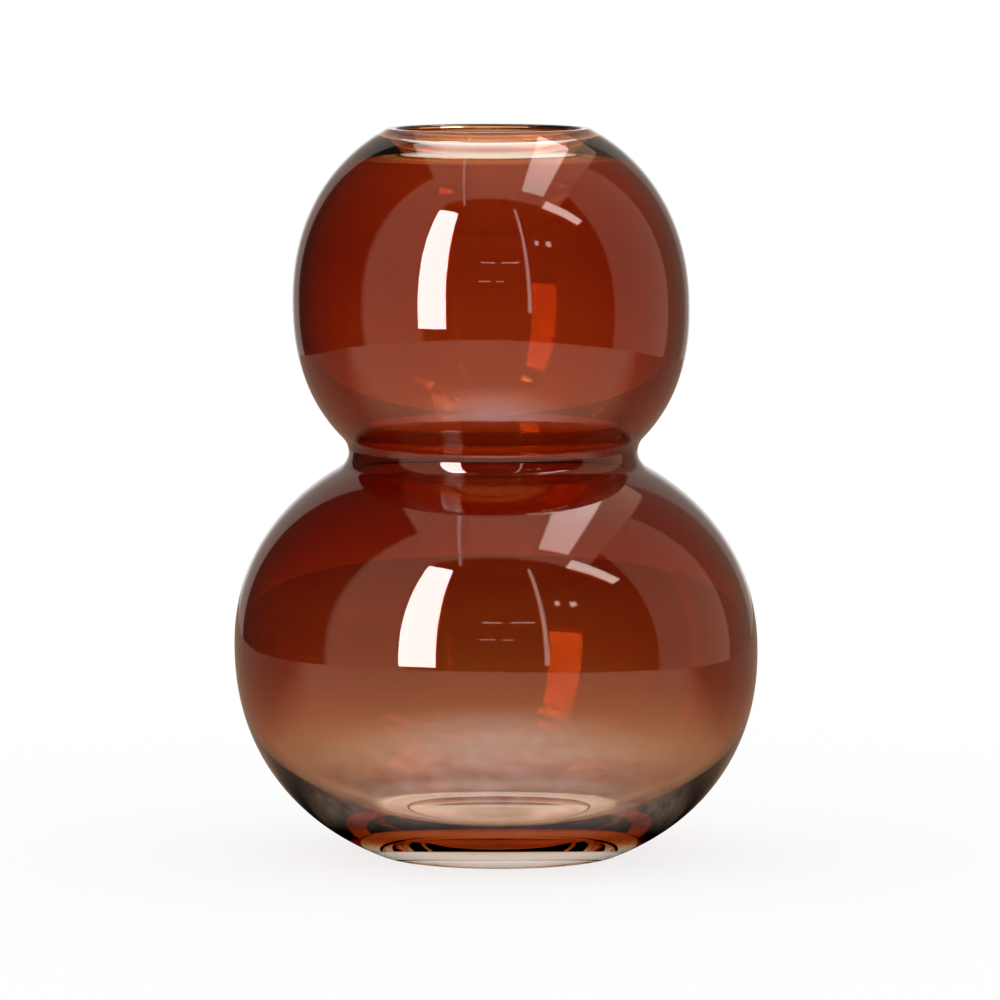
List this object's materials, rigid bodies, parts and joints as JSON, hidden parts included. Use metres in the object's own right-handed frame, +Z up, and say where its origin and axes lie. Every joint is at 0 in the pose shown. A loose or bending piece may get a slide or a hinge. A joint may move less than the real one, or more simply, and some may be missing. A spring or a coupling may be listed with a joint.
{
  "type": "gourd vase",
  "caption": "Gourd-shaped flower vase of cased glass: two stacked bulbs with a tight waist, a thick clear heel and an amber lining, open at the rim.",
  "frame": {"origin": "centre of the foot, on the surface that the vase stands on", "axes": "+Z up, along the axis of revolution of both bulbs; X and Y are free, because the vase is round"},
  "size_m": [0.18, 0.18, 0.25],
  "materials": {
    "clear_glass": "fire-polished colourless glass",
    "amber_glass": "amber-brown coloured glass, smooth, fused to the casing"
  },
  "bodies": {
    "root": {"clear_casing": "clear_glass", "amber_lining": "amber_glass"}
  },
  "joints": []
}
